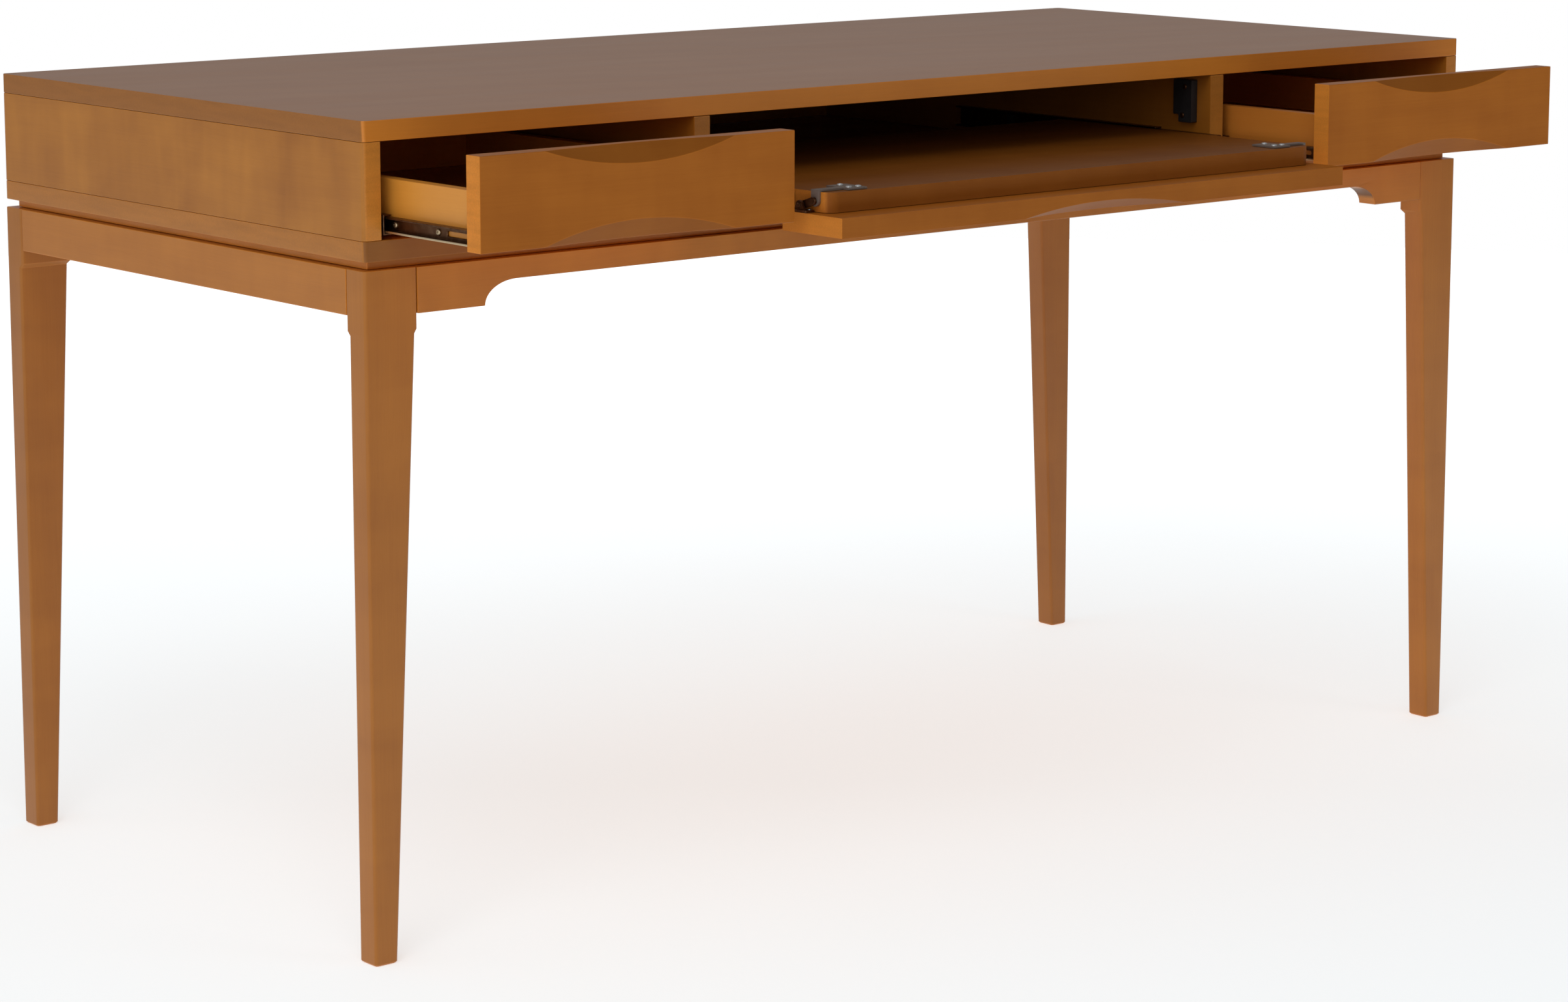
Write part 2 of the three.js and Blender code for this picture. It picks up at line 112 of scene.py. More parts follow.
class Graph:
    """Writes the nodes of one shader."""

    def __init__(self, tree: bpy.types.NodeTree) -> None:
        """Starts an empty graph.

        Args:
            tree: the node tree to write into.
        """
        self.tree = tree
        tree.nodes.clear()

    def node(self, kind: str, inputs: dict | None = None, **settings: object) -> bpy.types.Node:
        """Adds a node.

        Args:
            kind: the node's type name.
            inputs: values or sockets for its inputs, by name or position.
            settings: the node's own properties.

        Returns:
            The new node.
        """
        made = self.tree.nodes.new(kind)
        for name, value in settings.items():
            setattr(made, name, value)
        for name, value in (inputs or {}).items():
            self.feed(made.inputs[name], value)
        return made

    def feed(self, target: Socket, value: object) -> None:
        """Sets an input to a number, a colour or another node's output.

        Args:
            target: the input.
            value: a socket, a number or a sequence of numbers.
        """
        if isinstance(value, Socket):
            self.tree.links.new(value, target)
        elif target.type == "RGBA" and len(value) == 3:
            target.default_value = (*value, 1.0)
        else:
            target.default_value = value

    def maths(self, kind: str, first: object, second: object = 0.0) -> Socket:
        """The result of a sum on one or two numbers."""
        return self.node("ShaderNodeMath", {0: first, 1: second}, operation=kind).outputs[0]

    def scaled(self, vector: Socket, by: Sequence[float]) -> Socket:
        """A vector with each part multiplied by its own number."""
        made = self.node("ShaderNodeVectorMath", {0: vector, 1: by}, operation="MULTIPLY")
        return made.outputs[0]

    def added(self, vector: Socket, other: object) -> Socket:
        """The sum of two vectors."""
        return self.node("ShaderNodeVectorMath", {0: vector, 1: other}, operation="ADD").outputs[0]

    def along(self, vector: Socket, direction: Triple) -> Socket:
        """How far a vector reaches along a direction.

        Args:
            vector: the vector.
            direction: the direction.

        Returns:
            The distance.
        """
        made = self.node("ShaderNodeVectorMath", {0: vector, 1: direction},
                         operation="DOT_PRODUCT")
        return made.outputs["Value"]

    def multiplied(self, colour: object, by: object) -> Socket:
        """A colour multiplied by another colour."""
        return self.blend(1.0, colour, by, "MULTIPLY")

    def grey(self, level: Socket) -> Socket:
        """A grey of one level."""
        return self.node("ShaderNodeCombineColor", {0: level, 1: level, 2: level}).outputs[0]

    def place(self) -> Socket:
        """Where a point lies in its object's own space, in metres."""
        return self.node("ShaderNodeTexCoord").outputs["Object"]

    def noise(self, vector: Socket, scale: float, detail: float = 2.0,
              roughness: float = 0.5, warp: float = 0.0) -> Socket:
        """A cloudy pattern around 0.5.

        Args:
            vector: where the pattern is read.
            scale: how many clouds there are to a metre.
            detail: how many finer layers are added.
            roughness: how strong those finer layers are.
            warp: how far the pattern is bent by itself.

        Returns:
            The pattern's value.
        """
        inputs = {"Vector": vector, "Scale": scale, "Detail": detail,
                  "Roughness": roughness, "Distortion": warp}
        return self.node("ShaderNodeTexNoise", inputs).outputs[0]

    def spread(self, value: Socket, low: float, high: float,
               out_low: float, out_high: float) -> Socket:
        """A number moved from one range to another, and held inside it.

        Args:
            value: the number.
            low: the start of its range.
            high: the end of its range.
            out_low: what the start becomes.
            out_high: what the end becomes.

        Returns:
            The moved number.
        """
        inputs = {0: value, 1: low, 2: high, 3: out_low, 4: out_high}
        return self.node("ShaderNodeMapRange", inputs, clamp=True).outputs[0]

    def blend(self, share: object, first: object, second: object,
              kind: str = "MIX") -> Socket:
        """Two colours mixed.

        Args:
            share: how much of the second colour there is.
            first: the first colour.
            second: the second colour.
            kind: how they are mixed.

        Returns:
            The mixed colour.
        """
        made = self.node("ShaderNodeMix", data_type="RGBA", blend_type=kind)
        self.feed(made.inputs[0], share)
        self.feed(made.inputs[6], first)
        self.feed(made.inputs[7], second)
        return made.outputs[2]

    def bump(self, height: Socket, strength: float, depth: float) -> Socket:
        """Surface normals for a shallow relief."""
        inputs = {"Height": height, "Strength": strength, "Distance": depth}
        return self.node("ShaderNodeBump", inputs).outputs[0]

    def finish(self, inputs: dict) -> None:
        """Ends a material with its surface shader.

        Args:
            inputs: the shader's inputs by name.
        """
        shader = self.node("ShaderNodeBsdfPrincipled", inputs)
        output = self.node("ShaderNodeOutputMaterial")
        self.tree.links.new(shader.outputs[0], output.inputs[0])


def new_material(name: str) -> tuple[bpy.types.Material, Graph]:
    """Makes an empty material.

    Args:
        name: its name.

    Returns:
        The material and its graph.
    """
    made = bpy.data.materials.new(name)
    made.use_nodes = True
    return made, Graph(made.node_tree)


# ---- Finishes --------------------------------------------------------------------------------


@dataclass(frozen=True)
class WoodFinish:
    """A close-grained hardwood with a stain or a clear lacquer.

    The scales of its patterns are counts to the metre along, across and through the fibres.

    Attributes:
        name: the finish's name.
        pale: the colour between the figures.
        deep: the colour in the figures.
        end: the colour of end grain.
        mottle: how strong the cloudy figure is.
        streak: how strong the bands along the fibres are.
        roughness: how matt the surface is.
        specular: how strongly it reflects.
        relief: how strongly the fibres stand out.
        gloss_swing: how much the roughness varies.
    """

    name: str
    pale: Colour
    deep: Colour
    end: Colour
    mottle: float = 0.16
    streak: float = 0.14
    roughness: float = 0.36
    specular: float = 0.5
    relief: float = 0.12
    gloss_swing: float = 0.06

    FIBRES = (9, 620, 620)
    PORES = (42, 1500, 1500)
    GLOSS = (3, 22, 22)
    SWAY = (2.2, 5, 5)
    RINGS = (0.35, 1.0, 1.0)
    BANDS = (1.3, 46, 46)
    CLOUD = (9, 13, 13)
    CURL = (26, 6, 6)
    SPECKS = (30, 900, 900)
    ARCS = (1, 18, 160)
    WORN_TINT = (1.16, 1.15, 1.12)
    RELIEF_DEPTH = 0.12 * MM

    def material(self, grain: Grain, worn: bool = False) -> bpy.types.Material:
        """The finish on boards whose fibres run one way.

        Args:
            grain: the direction of the fibres.
            worn: whether it is for the eased edges, which are rubbed a little paler.

        Returns:
            The material, made once for each choice.
        """
        name = f"{self.name}_{grain.value}" + ("_edge" if worn else "")
        found = bpy.data.materials.get(name)
        if found:
            return found
        made, graph = new_material(name)
        place = self._place(graph, grain)
        fibre = graph.noise(graph.scaled(place, self.FIBRES), 1.0, 2.0, 0.6)
        pores = graph.noise(graph.scaled(place, self.PORES), 1.0, 1.0)
        pores = graph.spread(pores, 0.60, 0.74, 0.0, 1.0)
        colour = self._colour(graph, place, fibre, pores)
        colour = self._with_end_grain(graph, grain, place, colour)
        if worn:
            colour = graph.multiplied(colour, self.WORN_TINT)
        relief = graph.maths("SUBTRACT", fibre, graph.maths("MULTIPLY", pores, 0.8))
        gloss = graph.noise(graph.scaled(place, self.GLOSS), 1.0, 3.0)
        graph.finish({
            "Base Color": colour,
            "Roughness": graph.spread(gloss, 0.3, 0.7, self.roughness - self.gloss_swing,
                                      self.roughness + self.gloss_swing),
            "Specular IOR Level": self.specular,
            "Normal": graph.bump(relief, self.relief, self.RELIEF_DEPTH),
        })
        return made

    def _place(self, graph: Graph, grain: Grain) -> Socket:
        """Where a point lies in its board.

        Args:
            graph: the material's graph.
            grain: the direction of the fibres.

        Returns:
            A vector along the fibres, across them and through the board, with wavy fibres.
        """
        shift = graph.node("ShaderNodeAttribute", attribute_type="OBJECT",
                           attribute_name="board_shift").outputs["Vector"]
        parts = graph.node("ShaderNodeSeparateXYZ", {0: graph.place()}).outputs
        order = {Grain.ALONG_X: (0, 1, 2), Grain.ALONG_Y: (1, 0, 2), Grain.ALONG_Z: (2, 0, 1)}
        along, across, through = (parts[i] for i in order[grain])
        turned = graph.node("ShaderNodeCombineXYZ", {0: along, 1: across, 2: through}).outputs[0]
        moved = graph.added(turned, shift)
        sway = graph.noise(graph.scaled(moved, self.SWAY), 1.0, 2.0)
        sway = graph.maths("MULTIPLY", graph.maths("SUBTRACT", sway, 0.5), 0.018)
        wave = graph.node("ShaderNodeCombineXYZ", {0: 0.0, 1: sway, 2: sway}).outputs[0]
        return graph.added(moved, wave)

    def _colour(self, graph: Graph, place: Socket, fibre: Socket, pores: Socket) -> Socket:
        """The stain over the growth rings, the fibres and the figure, with the board's tone, which
        on some boards is painted shade and on the spacer painted light.

        Args:
            graph: the material's graph.
            place: where the point lies in its board.
            fibre: the pattern of the fibres.
            pores: the pattern of the pores.

        Returns:
            The colour.
        """
        rings = graph.node("ShaderNodeTexWave", {
            "Vector": graph.scaled(place, self.RINGS), "Scale": 9.0, "Distortion": 5.5,
            "Detail": 2.0, "Detail Scale": 1.6, "Detail Roughness": 0.55,
        }, wave_type="BANDS", bands_direction="DIAGONAL").outputs[1]
        bands = graph.noise(graph.scaled(place, self.BANDS), 1.0, 3.0, 0.62)
        cloud = graph.noise(graph.scaled(place, self.CLOUD), 1.0, 3.0, 0.55, 0.6)
        curl = graph.noise(graph.scaled(place, self.CURL), 1.0, 2.0, 0.6, 0.3)
        share = graph.spread(rings, 0.0, 1.0, -0.05, 0.05)
        for pattern, strength in ((bands, self.streak), (fibre, 0.10),
                                  (cloud, self.mottle * 0.7), (curl, self.mottle)):
            centred = graph.maths("SUBTRACT", pattern, 0.5)
            share = graph.maths("ADD", share, graph.maths("MULTIPLY", centred, 2.6 * strength))
        share = graph.maths("ADD", share, 0.45)
        share = graph.maths("ADD", share, graph.maths("MULTIPLY", pores, 0.10))
        share = graph.node("ShaderNodeClamp", {0: share}).outputs[0]
        # The whole board is made lighter or darker: its tone, which on some boards is painted shade
        # and on the spacer painted light.
        return self._toned(graph, graph.blend(share, self.pale, self.deep), "board_tone")

    @staticmethod
    def _toned(graph: Graph, colour: object, name: str) -> Socket:
        """A colour made lighter or darker by one of a board's own numbers.

        Args:
            graph: the material's graph.
            colour: the colour.
            name: the number's name. It is 0 for no change.

        Returns:
            The colour made lighter or darker by that number, which carries the board's tone and its
            painted light and shade.
        """
        tone = graph.node("ShaderNodeAttribute", attribute_type="OBJECT",
                          attribute_name=name).outputs["Fac"]
        return graph.multiplied(colour, graph.grey(graph.maths("ADD", tone, 1.0)))

    def _with_end_grain(self, graph: Graph, grain: Grain, place: Socket,
                        colour: Socket) -> Socket:
        """The colour with painted light and shade on upright and slanted faces, and with end grain
        on end faces.

        Args:
            graph: the material's graph.
            grain: the direction of the fibres.
            place: where the point lies in its board.
            colour: the colour of the long faces.

        Returns:
            The colour with end grain.
        """
        normal = graph.node("ShaderNodeTexCoord").outputs["Normal"]
        facings = graph.node("ShaderNodeSeparateXYZ", {0: normal}).outputs
        level = graph.maths("ABSOLUTE", facings[2])
        # Painted light and shade by facing: upright faces are made lighter or darker than level
        # ones.
        upright = graph.spread(level, 0.3, 0.7, 1.0, 0.0)
        colour = graph.blend(upright, colour, self._toned(graph, colour, "board_rim_tone"))
        # Painted shade on slanted faces, such as the finger scoops and the aprons' coves.
        slanted = graph.maths("MULTIPLY", graph.spread(level, 0.2, 0.35, 0.0, 1.0),
                              graph.spread(level, 0.9, 0.97, 1.0, 0.0))
        colour = graph.blend(slanted, colour, self._toned(graph, colour, "board_hollow_tone"))
        # End faces take the end-grain colour, with the board's end tone, which on some boards is
        # painted light.
        facing = facings["xyz".index(grain.value)]
        facing = graph.spread(graph.maths("ABSOLUTE", facing), 0.75, 0.92, 0.0, 0.85)
        specks = graph.noise(graph.scaled(place, self.SPECKS), 1.0, 2.0)
        arcs = graph.noise(graph.scaled(place, self.ARCS), 1.0, 2.0)
        dark = graph.spread(graph.maths("ADD", specks, arcs), 0.7, 1.3, 1.12, 0.88)
        end = graph.multiplied(self.end, graph.grey(dark))
        return graph.blend(facing, colour, self._toned(graph, end, "board_end_tone"))


@dataclass(frozen=True)
class MetalFinish:
    """A drawn, plated or blackened metal.

    Attributes:
        name: the finish's name.
        colour: the metal's colour.
        worn: its colour where it is rubbed.
        roughness: how matt it is.
        metallic: 1 for bare metal, less under a dull film.
        draw: the draw lines' counts to the metre along x, y and z.
    """

    name: str
    colour: Colour
    worn: Colour
    roughness: float
    metallic: float = 1.0
    draw: Triple = (14.0, 900.0, 900.0)

    LINE_DEPTH = 0.06 * MM

    def material(self, edge: bool = False) -> bpy.types.Material:
        """The finish, or its bright rubbed edge.

        Args:
            edge: whether it is for the rounded edges, where the plating is rubbed.

        Returns:
            The material, made once for each choice.
        """
        name = self.name + ("_edge" if edge else "")
        found = bpy.data.materials.get(name)
        if found:
            return found
        made, graph = new_material(name)
        place = graph.place()
        lines = graph.noise(graph.scaled(place, self.draw), 1.0, 2.0, 0.6)
        cloud = graph.noise(place, 140.0, 3.0, 0.6)
        rub = graph.spread(cloud, 0.42, 0.72, 0.15 if edge else 0.0, 0.95 if edge else 0.22)
        colour = graph.blend(rub, self.colour, self.worn)
        graph.finish({
            "Base Color": colour,
            "Metallic": self.metallic,
            "Roughness": graph.spread(lines, 0.3, 0.7, self.roughness - 0.06,
                                      self.roughness + 0.08),
            "Normal": graph.bump(lines, 0.10, self.LINE_DEPTH),
        })
        return made


@dataclass(frozen=True)
class PlasticFinish:
    """A moulded plastic with a fine spark-eroded texture."""

    name: str
    colour: Colour
    roughness: float = 0.5

    TEXTURE_DEPTH = 0.08 * MM

    def material(self, edge: bool = False) -> bpy.types.Material:
        """The finish, slightly polished at its edges.

        Args:
            edge: whether it is for the rounded edges.

        Returns:
            The material, made once for each choice.
        """
        name = self.name + ("_edge" if edge else "")
        found = bpy.data.materials.get(name)
        if found:
            return found
        made, graph = new_material(name)
        place = graph.place()
        texture = graph.noise(place, 2600.0, 2.0, 0.6)
        cloud = graph.noise(place, 60.0, 2.0)
        pale = tuple(min(1.0, 1.5 * c + 0.006) for c in self.colour)
        shine = self.roughness - (0.14 if edge else 0.0)
        graph.finish({
            "Base Color": graph.blend(graph.spread(cloud, 0.3, 0.7, 0.0, 0.5),
                                      self.colour, pale),
            "Roughness": graph.spread(cloud, 0.3, 0.7, shine - 0.05, shine + 0.06),
            "Normal": graph.bump(texture, 0.15, self.TEXTURE_DEPTH),
        })
        return made


# The end colour here and in the copies below is paler than the long faces: partly end grain, partly
# painted light on lit end faces such as the drawer fronts' ends.
STAINED = WoodFinish(
    "honey_stained_wood",
    pale=(0.530, 0.190, 0.021), deep=(0.355, 0.112, 0.010), end=(0.60, 0.22, 0.030),
    mottle=0.20, specular=0.4)
SATIN = replace(
    STAINED, name="satin_stained_wood", specular=0.13, roughness=0.46,
    pale=(0.530, 0.171, 0.019), deep=(0.355, 0.100, 0.009), end=(0.60, 0.21, 0.028))
FIGURED = replace(
    STAINED, name="figured_stained_wood", mottle=0.50,
    pale=(0.530, 0.200, 0.021), deep=(0.355, 0.118, 0.010))
TABLETOP = replace(
    STAINED, name="tabletop_stained_wood", pale=(0.500, 0.178, 0.022), deep=(0.350, 0.110, 0.011),
    streak=0.04, mottle=0.10, relief=0.02, gloss_swing=0.01)
LACQUERED = WoodFinish(
    "clear_lacquered_wood",
    pale=(0.82, 0.345, 0.048), deep=(0.66, 0.245, 0.028), end=(0.60, 0.24, 0.045),
    mottle=0.12, streak=0.12, roughness=0.40)
# A redder copy of the lacquer for the right drawer's box: painted shade, with painted reddish light
# thrown back from the wood round it.
LACQUERED_IN_SHADE = replace(
    LACQUERED, name="amber_lacquered_wood", pale=(0.82, 0.290, 0.040), deep=(0.66, 0.205, 0.023))
ROUGH_SAWN = WoodFinish(
    "bare_block_wood",
    pale=(0.60, 0.33, 0.14), deep=(0.44, 0.22, 0.085), end=(0.38, 0.20, 0.08),
    mottle=0.14, streak=0.2, roughness=0.62, specular=0.3)
SLIDE_STEEL = MetalFinish(
    "bronzed_steel", colour=(0.115, 0.050, 0.022), worn=(0.34, 0.22, 0.13), roughness=0.38,
    draw=(900.0, 14.0, 900.0))
NICKEL = MetalFinish(
    "nickel_plate", colour=(0.11, 0.11, 0.115), worn=(0.18, 0.18, 0.18), roughness=0.45)
DULL_NICKEL = MetalFinish(
    "dull_nickel_plate", colour=(0.20, 0.155, 0.130), worn=(0.23, 0.19, 0.165),
    roughness=0.55, metallic=0.35)
ZINC = MetalFinish(
    "bright_zinc", colour=(0.45, 0.46, 0.47), worn=(0.80, 0.80, 0.80), roughness=0.32)
YELLOW_ZINC = MetalFinish(
    "yellow_zinc", colour=(0.58, 0.45, 0.28), worn=(0.72, 0.62, 0.46), roughness=0.34)
PLASTIC = PlasticFinish("black_moulded_plastic", colour=(0.012, 0.012, 0.013))


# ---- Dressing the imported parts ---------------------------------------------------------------


def smoothing_group(bend: Bend) -> bpy.types.NodeTree:
    """The geometry group that shades gentle bends smooth and keeps sharp edges sharp.

    Args:
        bend: the bend above which an edge stays sharp.

    Returns:
        The group, made once for each bend.
    """
    name = f"smooth_under_{bend.value}_degrees"
    found = bpy.data.node_groups.get(name)
    if found:
        return found
    tree = bpy.data.node_groups.new(name, "GeometryNodeTree")
    tree.interface.new_socket("Geometry", in_out="INPUT", socket_type="NodeSocketGeometry")
    tree.interface.new_socket("Geometry", in_out="OUTPUT", socket_type="NodeSocketGeometry")
    graph = Graph(tree)
    start = graph.node("NodeGroupInput")
    bare = graph.node("GeometryNodeRemoveAttribute",
                      {"Geometry": start.outputs[0], "Name": "custom_normal"})
    angle = graph.node("GeometryNodeInputMeshEdgeAngle").outputs[0]
    sharp = graph.node("FunctionNodeCompare", {0: angle, 1: math.radians(bend.value)},
                       data_type="FLOAT", operation="GREATER_THAN").outputs[0]
    edges = graph.node("GeometryNodeSetShadeSmooth",
                       {"Geometry": bare.outputs[0], "Selection": sharp,
                        "Shade Smooth": False}, domain="EDGE")
    faces = graph.node("GeometryNodeSetShadeSmooth",
                       {"Geometry": edges.outputs[0], "Shade Smooth": True}, domain="FACE")
    end = graph.node("NodeGroupOutput")
    tree.links.new(faces.outputs[0], end.inputs[0])
    return tree


def ease(piece: bpy.types.Object, width: float, steps: int = 2,
         bend: Bend = Bend.STEEP) -> None:
    """Rounds a piece's edges and shades it.

    Args:
        piece: the piece, whose second material is for the rounded edges.
        width: the width of the rounding in metres.
        steps: how many faces go round each edge.
        bend: the bend above which an edge is rounded.
    """
    weld = piece.modifiers.new("weld", "WELD")
    weld.merge_threshold = 0.02 * MM
    bevel = piece.modifiers.new("eased_edges", "BEVEL")
    bevel.width = width
    bevel.segments = steps
    bevel.limit_method = "ANGLE"
    bevel.angle_limit = math.radians(bend.value)
    bevel.material = 1
    bevel.miter_outer = "MITER_ARC"
    smooth = piece.modifiers.new("smooth", "NODES")
    smooth.node_group = smoothing_group(bend)
    weighted = piece.modifiers.new("flat_faces", "WEIGHTED_NORMAL")
    weighted.keep_sharp = True
    weighted.weight = 100


def dress(piece: bpy.types.Object, face: bpy.types.Material, edge: bpy.types.Material) -> None:
    """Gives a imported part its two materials, on the object and not on its mesh.

    Args:
        piece: the part.
        face: the material of its faces.
        edge: the material of its rounded edges.
    """
    while len(piece.material_slots) < 2:
        piece.data.materials.append(None)
    for place, material in zip(piece.material_slots, (face, edge)):
        place.link = "OBJECT"
        place.material = material


@dataclass(frozen=True)
class Board:
    """How one wooden part is dressed. Each tone is 0 for the finish's own colour.

    Attributes:
        node: the part's name.
        grain: the direction of its fibres.
        finish: its finish.
        edge: how its edges are eased.
        tone: how much lighter or darker the whole part is; on the tray, the back legs and the right
            drawer's left side it is painted shade, on the spacer painted light.
        end_tone: the same for its end grain; on the drawer fronts and the spacer it is painted
            light.
        rim_tone: painted light on its upright faces; below 0 it is painted shade.
        hollow_tone: painted shade on its slanted faces, such as a finger scoop's.
        bend: the bend above which its edges are eased.
    """

    node: str
    grain: Grain
    finish: WoodFinish = STAINED
    edge: Edge = Edge.EASED
    tone: float = 0.0
    end_tone: float = 0.0
    rim_tone: float = 0.0
    hollow_tone: float = 0.0
    bend: Bend = Bend.STEEP

    def dress(self, parts: Parts) -> None:
        """Gives the part its finish, its own cut of the wood and its eased edges.

        Args:
            parts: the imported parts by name.
        """
        piece = parts[self.node]
        seed = sum((i + 3) * ord(letter) for i, letter in enumerate(self.node))
        piece["board_tone"] = self.tone
        piece["board_end_tone"] = self.end_tone
        piece["board_rim_tone"] = self.rim_tone
        piece["board_hollow_tone"] = self.hollow_tone
        piece["board_shift"] = [0.37 * (seed % 17), 0.113 * (seed % 23), 0.071 * (seed % 29)]
        dress(piece, self.finish.material(self.grain), self.finish.material(self.grain, True))
        ease(piece, self.edge.value, bend=self.bend)
        LOG.info("dressed %s", self.node)


def dress_metal(parts: Parts, names: Iterable[str], finish: MetalFinish | PlasticFinish,
                width: float = 0.2 * MM) -> None:
    """Gives metal or plastic parts their finish.

    Args:
        parts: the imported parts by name.
        names: which of them to dress.
        finish: their finish.
        width: the width of their rounded edges in metres.
    """
    for name in names:
        dress(parts[name], finish.material(), finish.material(True))
        ease(parts[name], width, 1)
        LOG.info("dressed %s", name)


# ---- Small fittings --------------------------------------------------------------------------


@dataclass(frozen=True)
class ScrewHead:
    """A screw head's size in metres."""

    radius: float
    height: float


RUNNER_SCREW = ScrewHead(3.1 * MM, 1.5 * MM)
TRAY_RUNNER_SCREW = ScrewHead(2.8 * MM, 1.5 * MM)
PLATE_SCREW = ScrewHead(3.2 * MM, 1.3 * MM)
BRACKET_SCREW = ScrewHead(2.1 * MM, 0.8 * MM)
BLOCK_SCREW = ScrewHead(4.2 * MM, 2.0 * MM)
SPACER_SCREW = ScrewHead(4.0 * MM, 1.6 * MM)
CATCH_SCREW = ScrewHead(2.8 * MM, 1.3 * MM)


class Fitting:
    """The mesh of one or more like fittings, such as a set of screws."""

    SEGMENTS = 24
    GENTLE = math.radians(40)

    def __init__(self) -> None:
        """Starts an empty mesh."""
        self.mesh = bmesh.new()

    @staticmethod
    def _seat(at: Vector, axis: Vector, turn: float = 0.0) -> Matrix:
        """The place of a fitting that stands on a surface.

        Args:
            at: the point on the surface, in metres.
            axis: the direction out of the surface.
            turn: how far it is turned about that direction, in radians.

        Returns:
            The matrix from the fitting's own space, whose z is out of the surface.
        """
        return (Matrix.Translation(at)
                @ axis.normalized().to_track_quat("Z", "Y").to_matrix().to_4x4()
                @ Matrix.Rotation(turn, 4, "Z"))

    def _ring(self, place: Matrix, radius: float, height: float,
              sides: int = SEGMENTS) -> list[bmesh.types.BMVert]:
        """Points round a circle.

        Args:
            place: the fitting's place.
            radius: the circle's radius.
            height: its height over the surface.
            sides: how many points it has.

        Returns:
            The points in order.
        """
        angles = (2 * math.pi * i / sides for i in range(sides))
        return [self.mesh.verts.new(place @ Vector(
            (radius * math.cos(a), radius * math.sin(a), height))) for a in angles]

    def _skin(self, rings: Sequence[list[bmesh.types.BMVert]]) -> None:
        """Faces between neighbouring rings.

        Args:
            rings: the rings in order, each with the same count of points.
        """
        for low, high in zip(rings, rings[1:]):
            for i in range(len(low)):
                j = (i + 1) % len(low)
                self.mesh.faces.new((low[i], low[j], high[j], high[i]))

    def turned(self, at: Vector, axis: Vector, profile: Sequence[tuple[float, float]],
               sides: int = SEGMENTS, turn: float = 0.0) -> None:
        """A closed turned or many-sided body.

        Args:
            at: the point on the surface, in metres.
            axis: the direction out of the surface.
            profile: radius and height pairs from the bottom to the top, in metres.
            sides: how many sides it has.
            turn: how far it is turned about its axis, in radians.
        """
        place = self._seat(at, axis, turn)
        rings = [self._ring(place, radius, height, sides) for radius, height in profile]
        self._skin(rings)
        self.mesh.faces.new(list(reversed(rings[0])))
        self.mesh.faces.new(rings[-1])

    def screw(self, at: Vector, axis: Vector, head: ScrewHead, turn: float) -> None:
        """A domed screw head with a cross recess.

        Args:
            at: the point on the surface, in metres.
            axis: the direction out of the surface.
            head: the head's size.
            turn: how far its recess is turned, in radians.
        """
        place = self._seat(at, axis, turn)
        radius, height = head.radius, head.height
        dome = ((0.98, 0.0), (1.0, 0.22), (0.94, 0.55), (0.80, 0.84), (0.58, 1.0))
        rings = [self._ring(place, radius * r, height * h) for r, h in dome]
        self._skin(rings)
        self.mesh.faces.new(list(reversed(rings[0])))
        arm, half = 0.46 * radius, 0.11 * radius
        corners = [(arm, -half), (arm, half), (half, half), (half, arm), (-half, arm),
                   (-half, half), (-arm, half), (-arm, -half), (-half, -half),
                   (-half, -arm), (half, -arm), (half, -half)]
        mouth, floor = ([self.mesh.verts.new(place @ Vector((share * x, share * y, z)))
                         for x, y in corners]
                        for share, z in ((1.0, height), (0.72, 0.35 * height)))
        rims = [self.mesh.edges.get((ring[i], ring[(i + 1) % len(ring)]))
                or self.mesh.edges.new((ring[i], ring[(i + 1) % len(ring)]))
                for ring in (rings[-1], mouth) for i in range(len(ring))]
        bmesh.ops.triangle_fill(self.mesh, edges=rims, use_beauty=True,
                                normal=axis.normalized())
        self._skin([mouth, floor])
        self.mesh.faces.new(floor)

    def block(self, low: Vector, high: Vector, chamfer: float) -> None:
        """A block with chamfered edges.

        Args:
            low: its lowest corner.
            high: its highest corner.
            chamfer: the width of its chamfers.
        """
        made = bmesh.ops.create_cube(self.mesh, size=1.0)["verts"]
        for vert in made:
            vert.co = Vector(lo + (c + 0.5) * (hi - lo)
                             for lo, hi, c in zip(low, high, vert.co))
        edges = {edge for vert in made for edge in vert.link_edges}
        bmesh.ops.bevel(self.mesh, geom=list(edges), offset=chamfer, segments=2,
                        affect="EDGES", profile=0.6)

    def piece(self, name: str, body: str, finish: MetalFinish | PlasticFinish,
              slot: str) -> None:
        """Ends the mesh and puts it on its body.

        Args:
            name: the piece's name.
            body: the body that it rides on.
            finish: its finish.
            slot: the record's material slot for the piece. It is not used.
        """
        bmesh.ops.recalc_face_normals(self.mesh, faces=self.mesh.faces[:])
        for face in self.mesh.faces:
            face.smooth = True
        for edge in self.mesh.edges:
            edge.smooth = edge.calc_face_angle(0.0) < self.GENTLE
        data = bpy.data.meshes.new(name)
        self.mesh.to_mesh(data)
        self.mesh.free()
        made = bpy.data.objects.new(name, data)
        bpy.context.scene.collection.objects.link(made)
        data.materials.append(finish.material())
        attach(made, body)
        LOG.info("made %s on %s", name, body)


